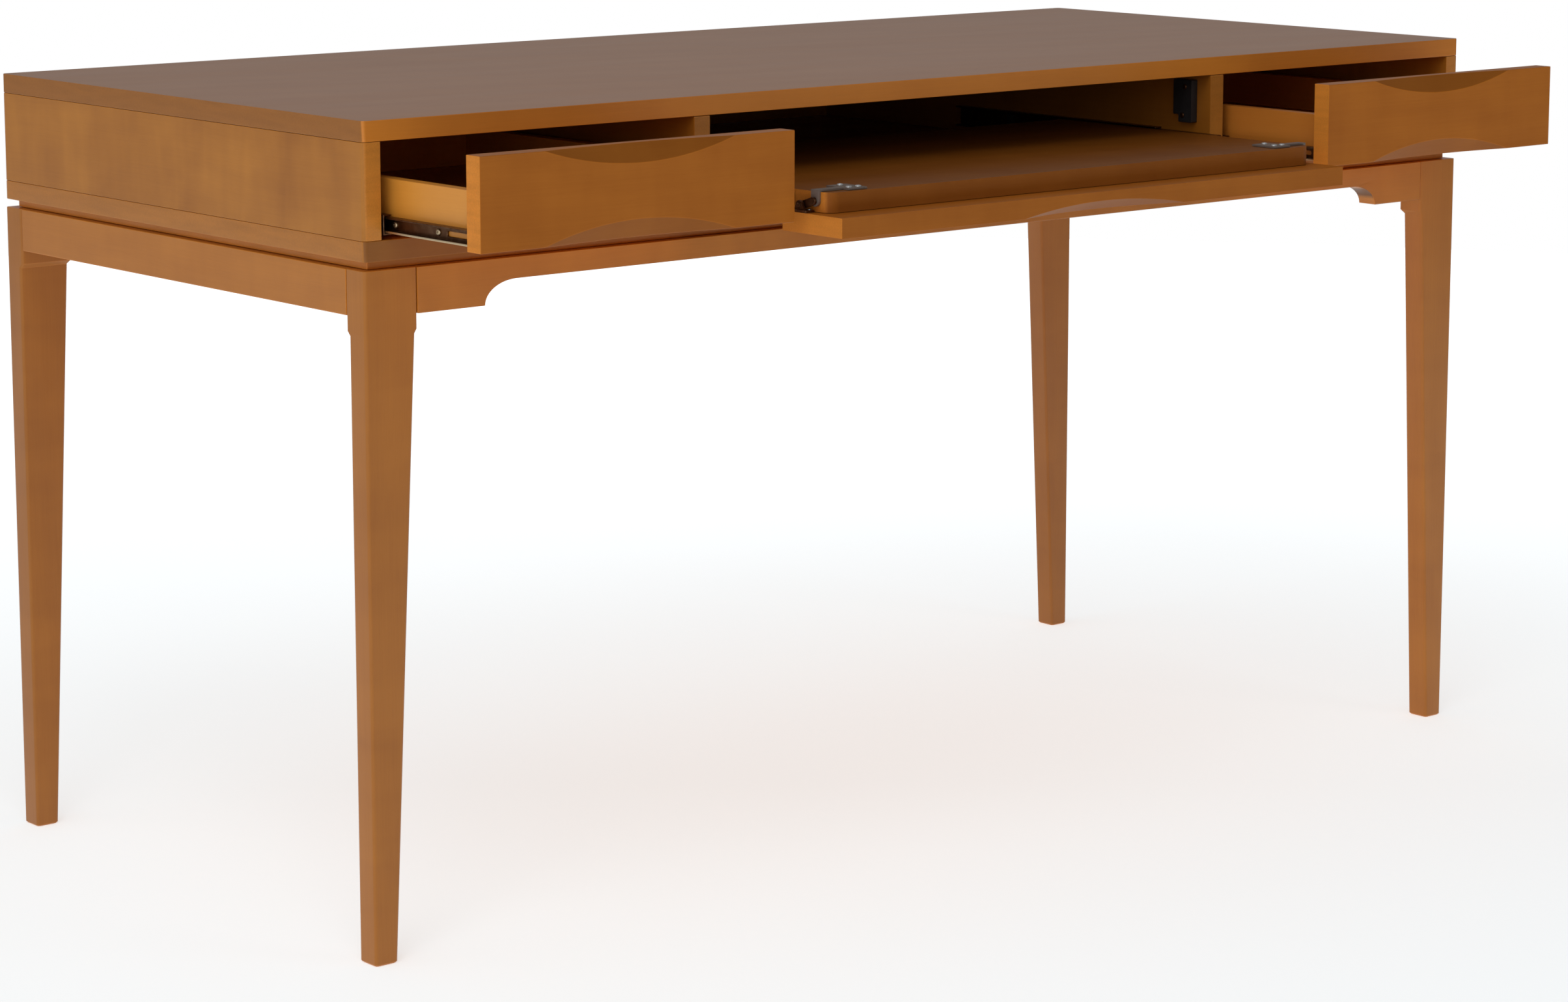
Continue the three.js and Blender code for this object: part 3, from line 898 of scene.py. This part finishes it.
@dataclass
class Slides:
    """A left and a right telescopic slide under one drawer or the tray.

    Attributes:
        unit: the drawer's or tray's name, which is also its body's.
        runners: the body of its middle channels.
        screw_rows: how far each screw stands from the inner channel's front end.
        parts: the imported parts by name.
        screw: the size of its screws' heads.
        metal: the thickness of the channels.
        buffer: how far the moulded buffer stands out behind the middle channel.
        race_height: the height of the bright race.
        race_depth: its depth, across the slide.
        race_inset: how far its ends stand inside the inner channel's.
        gap: how far it stands off the channel's rim.
    """

    unit: str
    runners: str
    screw_rows: Sequence[float]
    parts: Parts
    screw: ScrewHead = RUNNER_SCREW
    metal: float = 1.4 * MM
    buffer: float = 5 * MM
    race_height: float = 1.7 * MM
    race_depth: float = 0.35 * MM
    race_inset: float = 0.5 * MM
    gap: float = 0.05 * MM

    def build(self) -> None:
        """Dresses the channels, then adds their screws, buffers and bright races."""
        for side in Side:
            name = f"{self.unit}_{side.word}_slide"
            dress_metal(self.parts, [f"{name}_{part}" for part in ("outer", "middle", "inner")],
                        SLIDE_STEEL, 0.3 * MM)
            self._screws(name, side)
            self._stop(name)
            self._race(name, side)

    def _screws(self, name: str, side: Side) -> None:
        """The screws that hold the inner channel, in its open face.

        Args:
            name: the slide's name.
            side: which end of the drawer or tray the slide is at.
        """
        low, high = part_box(f"{name}_inner")
        face = high.x - self.metal if side is Side.LEFT else low.x + self.metal
        axis = Vector((side.value, 0, 0))
        heads = Fitting()
        for i, row in enumerate(self.screw_rows):
            at = Vector((face, low.y + row, (low.z + high.z) / 2))
            heads.screw(at, axis, self.screw, 0.35 + 0.9 * i)
        heads.piece(f"{name}_screws", self.unit, YELLOW_ZINC, "nickel_plate")

    def _stop(self, name: str) -> None:
        """The moulded buffer on the back end of the middle channel.

        Args:
            name: the slide's name.
        """
        low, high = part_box(f"{name}_middle")
        rim, clear = 0.4 * MM, 0.15 * MM
        stop = Fitting()
        stop.block(Vector((low.x + rim, high.y + clear, low.z + rim)),
                   Vector((high.x - rim, high.y + self.buffer, high.z - rim)), rim)
        stop.piece(f"{name}_stop", self.runners, PLASTIC, "black_plastic")

    def _race(self, name: str, side: Side) -> None:
        """The bright strip along the rim of the inner channel's lower lip.

        Args:
            name: the slide's name.
            side: which end of the drawer or tray the slide is at.
        """
        low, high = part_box(f"{name}_inner")
        rim = low.x if side is Side.LEFT else high.x
        near, far = sorted(rim + off * side.value for off in (self.gap, self.gap + self.race_depth))
        strip = Fitting()
        strip.block(Vector((near, low.y + self.race_inset, low.z)),
                    Vector((far, high.y - self.race_inset, low.z + self.race_height)), 0.1 * MM)
        strip.piece(f"{name}_race", self.unit, YELLOW_ZINC, "slide_steel")


@dataclass
class Drawer:
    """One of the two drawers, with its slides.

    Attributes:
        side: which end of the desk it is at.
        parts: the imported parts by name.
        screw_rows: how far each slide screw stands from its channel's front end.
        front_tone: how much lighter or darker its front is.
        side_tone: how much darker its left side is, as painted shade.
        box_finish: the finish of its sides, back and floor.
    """

    side: Side
    parts: Parts
    screw_rows: Sequence[float] = (52 * MM, 115 * MM, 250 * MM, 370 * MM)
    front_tone: float = 0.0
    side_tone: float = 0.0
    box_finish: WoodFinish = LACQUERED

    @property
    def unit(self) -> str:
        """The drawer's name as it stands in its parts' names."""
        return f"{self.side.word}_drawer"

    def build(self) -> None:
        """Dresses the drawer and adds its fittings."""
        unit, finish = self.unit, self.box_finish
        boards = [
            # On each front the ends are lightened as painted light from the left, and the scoops
            # darkened as painted shade.
            Board(f"{unit}_front", Grain.ALONG_X, SATIN, Edge.CRISP, tone=self.front_tone,
                  end_tone=0.2, hollow_tone=-0.28, bend=Bend.SHALLOW),
            Board(f"{unit}_left_side", Grain.ALONG_Y, finish, tone=self.side_tone),
            Board(f"{unit}_right_side", Grain.ALONG_Y, finish),
            Board(f"{unit}_back", Grain.ALONG_X, finish),
            Board(f"{unit}_floor", Grain.ALONG_X, finish, Edge.CRISP, tone=0.04),
        ]
        for board in boards:
            board.dress(self.parts)
        Slides(unit, f"{unit}_runners", self.screw_rows, self.parts).build()


@dataclass
class Tray:
    """The pull-out tray with its drop-down flap and the flap's hinges.

    Attributes:
        parts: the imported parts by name.
        screw_rows: how far each slide screw stands from its channel's front end.
        plate_screws: each plate screw's place, from the desk's middle and the plate's front.
        bracket_screws: each bracket screw's place, from the desk's middle and the leaf's front.
        leaf: the thickness of the bracket's leaf.
    """

    parts: Parts
    screw_rows: Sequence[float] = (34 * MM, 96 * MM, 190 * MM, 270 * MM)
    plate_screws: Sequence[tuple[float, float]] = (
        (267.5 * MM, 6.0 * MM), (278.5 * MM, 6.0 * MM), (273.0 * MM, 24.0 * MM))
    bracket_screws: Sequence[tuple[float, float]] = (
        (313.6 * MM, 3.4 * MM), (313.6 * MM, 19.6 * MM))
    leaf: float = 1.9 * MM

    def build(self) -> None:
        """Dresses the tray, the flap and the hinges, and adds their screws."""
        # The tray board is darkened all over as painted shade in its bay, and its upright edges are
        # lightened as painted light.
        Board("tray_board", Grain.ALONG_X, SATIN, tone=-0.5, rim_tone=0.35).dress(self.parts)
        # The flap's upright edges and its scoops are darkened as painted shade.
        Board("flap_front", Grain.ALONG_X, SATIN, Edge.CRISP, tone=-0.05, rim_tone=-0.12,
              hollow_tone=-0.42, bend=Bend.SHALLOW).dress(self.parts)
        Slides("tray", "tray_runners", self.screw_rows, self.parts, TRAY_RUNNER_SCREW).build()
        for side in Side:
            self._hinge(side)

    def _hinge(self, side: Side) -> None:
        """Dresses one hinge and adds its screws.

        Args:
            side: which end of the tray the hinge is at.
        """
        word, sign = side.word, side.value
        dress_metal(self.parts, [f"{word}_flap_hinge_plate"], DULL_NICKEL, 0.1 * MM)
        dress_metal(self.parts, [f"{word}_flap_link", f"{word}_flap_bracket"], SLIDE_STEEL)
        up = Vector((0, 0, 1))
        low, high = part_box(f"{word}_flap_hinge_plate")
        heads = Fitting()
        for i, (out, back) in enumerate(self.plate_screws):
            at = Vector((sign * out, low.y + back, high.z))
            heads.screw(at, up, PLATE_SCREW, 0.2 + 1.1 * i)
        heads.piece(f"{word}_hinge_plate_screws", "tray", NICKEL, "nickel_plate")
        low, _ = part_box(f"{word}_flap_bracket")
        heads = Fitting()
        for out, back in self.bracket_screws:
            at = Vector((sign * out, low.y + back, low.z + self.leaf))
            heads.screw(at, up, BRACKET_SCREW, 0.5)
        heads.piece(f"{word}_flap_bracket_screws", "flap", ZINC, "nickel_plate")


@dataclass
class Base:
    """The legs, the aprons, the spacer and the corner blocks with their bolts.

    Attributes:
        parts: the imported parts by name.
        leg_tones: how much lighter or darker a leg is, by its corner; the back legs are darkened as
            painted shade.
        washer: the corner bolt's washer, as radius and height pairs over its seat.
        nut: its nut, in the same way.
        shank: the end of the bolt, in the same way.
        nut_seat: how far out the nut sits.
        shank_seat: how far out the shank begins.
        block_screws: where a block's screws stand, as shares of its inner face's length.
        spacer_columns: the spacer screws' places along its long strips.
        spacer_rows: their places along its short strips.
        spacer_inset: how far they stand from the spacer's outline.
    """

    parts: Parts
    # The back legs are darkened as painted shade.
    leg_tones: dict[str, float] = field(default_factory=lambda: {
        "front_left": -0.06, "back_left": -0.15, "back_right": -0.15})
    washer: Sequence[tuple[float, float]] = (
        (9.0 * MM, 0.0), (9.0 * MM, 1.2 * MM), (8.6 * MM, 1.6 * MM))
    nut: Sequence[tuple[float, float]] = (
        (7.1 * MM, 0.0), (7.5 * MM, 0.5 * MM), (7.5 * MM, 5.6 * MM), (6.7 * MM, 6.2 * MM))
    shank: Sequence[tuple[float, float]] = (
        (3.9 * MM, 0.0), (3.9 * MM, 5.4 * MM), (3.2 * MM, 6.2 * MM))
    nut_seat: float = 1.7 * MM
    shank_seat: float = 8.0 * MM
    block_screws: Sequence[float] = (0.13, 0.87)
    spacer_columns: Sequence[float] = (-460 * MM, -150 * MM, 150 * MM, 460 * MM)
    spacer_rows: Sequence[float] = (-20 * MM, 200 * MM)
    spacer_inset: float = 38 * MM

    def build(self) -> None:
        """Dresses the base and adds its bolts and screws."""
        for end in End:
            for side in Side:
                corner = f"{end.value}_{side.word}"
                Board(f"{corner}_leg", Grain.ALONG_Z, edge=Edge.SOFT,
                      tone=self.leg_tones.get(corner, 0.0)).dress(self.parts)
                Board(f"{corner}_corner_block", Grain.ALONG_X, ROUGH_SAWN).dress(self.parts)
                self._bolt(corner, side, end)
            # The front and back aprons' coves are darkened as painted shade.
            Board(f"{end.value}_apron", Grain.ALONG_X, tone=0.12,
                  hollow_tone=-0.7).dress(self.parts)
        for side in Side:
            Board(f"{side.word}_apron", Grain.ALONG_Y, tone=0.05).dress(self.parts)
        # The spacer is lightened, ends too, as painted light in the shadow gap.
        Board("spacer_frame", Grain.ALONG_X, tone=0.2, end_tone=0.2).dress(self.parts)
        self._spacer_screws()

    def _bolt(self, corner: str, side: Side, end: End) -> None:
        """The bolt that draws a leg into its corner, and the block's two screws.

        Args:
            corner: the corner's name.
            side: which end of the desk it is at.
            end: whether it is at the front or the back.
        """
        low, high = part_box(f"{corner}_corner_block")
        outer_x, inner_x = (low.x, high.x) if side is Side.LEFT else (high.x, low.x)
        outer_y, inner_y = (low.y, high.y) if end is End.FRONT else (high.y, low.y)
        middle = (low.z + high.z) / 2
        first, last = Vector((inner_x, outer_y, middle)), Vector((outer_x, inner_y, middle))
        along = last - first
        axis = Vector((along.y, -along.x, 0)).normalized()
        if axis.x * side.value > 0:
            axis = -axis
        centre = first + along / 2
        bolt = Fitting()
        bolt.turned(centre, axis, self.washer)
        bolt.turned(centre + axis * self.nut_seat, axis, self.nut, sides=6, turn=0.4)
        bolt.turned(centre + axis * self.shank_seat, axis, self.shank)
        for share in self.block_screws:
            bolt.screw(first + along * share, axis, BLOCK_SCREW, 0.7)
        bolt.piece(f"{corner}_corner_bolt", "desk_frame", ZINC, "nickel_plate")

    def _spacer_screws(self) -> None:
        """The screws up through the spacer's strips into the case."""
        low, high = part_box("spacer_frame")
        down = Vector((0, 0, -1))
        inset = self.spacer_inset
        places = [(x, y, 0.4 + x) for x in self.spacer_columns
                  for y in (low.y + inset, high.y - inset)]
        places += [(x, y, 0.6 + y) for y in self.spacer_rows
                   for x in (low.x + inset, high.x - inset)]
        heads = Fitting()
        for x, y, turn in places:
            heads.screw(Vector((x, y, low.z)), down, SPACER_SCREW, turn)
        heads.piece("spacer_screws", "desk_frame", ZINC, "nickel_plate")


@dataclass
class Case:
    """The desktop and the box under it, with the two flap catches."""

    parts: Parts

    def build(self) -> None:
        """Dresses the case and adds the catches' screws."""
        boards = [
            # The desktop's front and back edges are lightened as painted light.
            Board("desktop", Grain.ALONG_X, TABLETOP, tone=-0.2, end_tone=-0.55, rim_tone=0.95),
            # The bottom panel's front and back edges are darkened as painted shade.
            Board("bottom_panel", Grain.ALONG_X, end_tone=-0.22, rim_tone=-0.4),
            Board("left_side_panel", Grain.ALONG_Y, FIGURED, tone=-0.05),
            Board("right_side_panel", Grain.ALONG_Y, FIGURED, tone=-0.05),
            Board("left_divider", Grain.ALONG_Y, tone=-0.2, end_tone=-0.3),
            Board("right_divider", Grain.ALONG_Y, tone=-0.2, end_tone=-0.3),
            Board("back_panel", Grain.ALONG_X, FIGURED),
        ]
        for board in boards:
            board.dress(self.parts)
        for side in Side:
            dress_metal(self.parts, [f"{side.word}_flap_catch"], PLASTIC, 0.6 * MM)
            self._catch_screws(side)

    def _catch_screws(self, side: Side) -> None:
        """The two screws of a flap catch.

        Args:
            side: which divider the catch is on.
        """
        low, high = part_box(f"{side.word}_flap_catch")
        face = high.x if side is Side.LEFT else low.x
        axis = Vector((-side.value, 0, 0))
        heads = Fitting()
        for y, z in ((low.y + 9 * MM, high.z - 7 * MM), (low.y + 12 * MM, low.z + 7 * MM)):
            heads.screw(Vector((face, y, z)), axis, CATCH_SCREW, 0.5)
        heads.piece(f"{side.word}_flap_catch_screws", "desk_frame", SLIDE_STEEL, "slide_steel")


# ---- Studio ----------------------------------------------------------------------------------


@dataclass(frozen=True)
class SoftBox:
    """A square lamp.

    Attributes:
        name: its name.
        at: where it stands, in metres.
        towards: the point that it faces.
        size: the length of its sides.
        power: its power in watts.
    """

    name: str
    at: Triple
    towards: Triple
    size: float
    power: float

    def build(self) -> None:
        """Sets the lamp up."""
        data = bpy.data.lights.new(self.name, "AREA")
        data.shape = "SQUARE"
        data.size = self.size
        data.energy = self.power
        lamp = bpy.data.objects.new(self.name, data)
        lamp.location = self.at
        facing = Vector(self.towards) - Vector(self.at)
        lamp.rotation_euler = facing.to_track_quat("-Z", "Y").to_euler()
        bpy.context.scene.collection.objects.link(lamp)


@dataclass(frozen=True)
class Glow:
    """A brighter or darker part of the surround.

    Attributes:
        towards: its direction.
        start: how far along that direction it begins, from -1 to 1.
        full: where it reaches its full strength.
        strength: what it adds to the surround.
    """

    towards: Triple
    start: float
    full: float
    strength: float


@dataclass
class Studio:
    """The floor, the soft light and the camera.

    Attributes:
        floor_radius: the floor's radius in metres.
        floor_colour: its colour.
        floor_tint: the colour of its own light.
        floor_glow: that light's strength in the middle, and at the back and the rim.
        floor_back: the direction of the back.
        back_span: how far back the floor's light begins to rise and is full, in metres.
        rim_span: the same outwards.
        surround: the strength of the light from all round.
        glows: what is brighter or darker in it.
        soft_boxes: the lamps.
        lens: the camera's focal length in millimetres.
        camera_at: where it stands, in metres.
        heading: the direction it faces, in degrees from x towards y.
        pitch: how far it looks down, in degrees.
        shift: how far the picture is moved on the lens.
    """

    floor_radius: float = 4.4
    floor_colour: Colour = (0.78, 0.85, 0.88)
    floor_tint: Colour = (0.985, 0.995, 1.0)
    floor_glow: tuple[float, float] = (0.56, 1.0)
    floor_back: Triple = (0.64, 0.77, 0.0)
    back_span: tuple[float, float] = (0.0, 3.6)
    rim_span: tuple[float, float] = (3.0, 4.3)
    surround: float = 0.30
    glows: Sequence[Glow] = (
        Glow((-0.93, -0.30, 0.2), 0.3, 1.0, 0.35),
        Glow((0.64, -0.77, 0.0), 0.2, 0.9, -0.24),
        Glow((0.62, 0.76, 0.17), 0.75, 0.95, 0.14))
    soft_boxes: Sequence[SoftBox] = (
        SoftBox("left_soft_box", (-3.1, -1.7, 1.6), (-0.2, -0.1, 0.5), 1.8, 8.0),
        SoftBox("front_soft_box", (1.7, -3.6, 1.9), (0.3, -0.1, 0.6), 1.6, 8.0),
        SoftBox("upper_soft_box", (-1.7, -1.4, 2.9), (0.1, 0.1, 0.0), 1.4, 12.0))
    lens: float = 91.44
    camera_at: Triple = (-2.570, -2.9915, 1.0640)
    heading: float = 49.95
    pitch: float = 9.15
    shift: float = -0.085

    def build(self) -> None:
        """Sets the floor, the surround, the lamps and the camera."""
        self._floor()
        self._surround()
        for soft_box in self.soft_boxes:
            soft_box.build()
        self._camera()
        view = bpy.context.scene.view_settings
        view.view_transform = "Standard"
        view.look = "None"

    def _floor(self) -> None:
        """A round, pale floor that is lit more strongly at its back and its rim."""
        mesh = bmesh.new()
        bmesh.ops.create_circle(mesh, cap_ends=True, segments=96, radius=self.floor_radius)
        data = bpy.data.meshes.new("floor")
        mesh.to_mesh(data)
        mesh.free()
        floor = bpy.data.objects.new("floor", data)
        bpy.context.scene.collection.objects.link(floor)
        material, graph = new_material("pale_floor")
        material.cycles.emission_sampling = "NONE"
        place = graph.place()
        away = graph.along(place, self.floor_back)
        radius = graph.node("ShaderNodeVectorMath", {0: place},
                            operation="LENGTH").outputs["Value"]
        glow = graph.maths("MAXIMUM", graph.spread(away, *self.back_span, *self.floor_glow),
                           graph.spread(radius, *self.rim_span, *self.floor_glow))
        graph.finish({
            "Base Color": self.floor_colour,
            "Roughness": 0.9,
            "Specular IOR Level": 0.0,
            "Emission Color": self.floor_tint,
            "Emission Strength": glow,
        })
        data.materials.append(material)

    def _surround(self) -> None:
        """A dim surround that lights the desk, behind a white backdrop."""
        world = bpy.data.worlds.new("studio")
        bpy.context.scene.world = world
        world.use_nodes = True
        graph = Graph(world.node_tree)
        towards = graph.node("ShaderNodeTexCoord").outputs["Generated"]
        level: Socket | float = self.surround
        for glow in self.glows:
            reach = graph.along(towards, glow.towards)
            level = graph.maths("ADD", graph.spread(reach, glow.start, glow.full, 0.0,
                                                    glow.strength), level)
        white = (1.0, 1.0, 1.0)
        surround = graph.node("ShaderNodeBackground", {0: white, 1: level})
        backdrop = graph.node("ShaderNodeBackground", {0: white, 1: 1.0})
        seen = graph.node("ShaderNodeLightPath").outputs["Is Camera Ray"]
        mixed = graph.node("ShaderNodeMixShader",
                           {0: seen, 1: surround.outputs[0], 2: backdrop.outputs[0]})
        output = graph.node("ShaderNodeOutputWorld")
        world.node_tree.links.new(mixed.outputs[0], output.inputs[0])

    def _camera(self) -> None:
        """A long lens at about eye level, from the desk's left front corner."""
        data = bpy.data.cameras.new("camera")
        data.lens = self.lens
        data.sensor_width = 36.0
        data.shift_y = self.shift
        data.clip_end = 200.0
        camera = bpy.data.objects.new("camera", data)
        heading, pitch = math.radians(self.heading), math.radians(self.pitch)
        forward = Vector((math.cos(heading) * math.cos(pitch),
                          math.sin(heading) * math.cos(pitch), -math.sin(pitch)))
        camera.location = self.camera_at
        camera.rotation_euler = forward.to_track_quat("-Z", "Y").to_euler()
        bpy.context.scene.collection.objects.link(camera)
        bpy.context.scene.camera = camera


# ---- The desk --------------------------------------------------------------------------------


def main() -> None:
    """Builds the desk's finishes and fittings and the studio around it."""
    logging.basicConfig(level=logging.INFO, format="%(name)s: %(message)s")
    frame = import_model()
    parts = frame["nodes"]
    Base(parts).build()
    Case(parts).build()
    Drawer(Side.LEFT, parts, front_tone=-0.1).build()
    # The right drawer's box is given painted shade: a darker left side and the redder copy of the
    # lacquer.
    Drawer(Side.RIGHT, parts, front_tone=-0.06, side_tone=-0.26, box_finish=LACQUERED_IN_SHADE).build()
    Tray(parts).build()
    Studio().build()


if __name__ == "__main__":
    main()
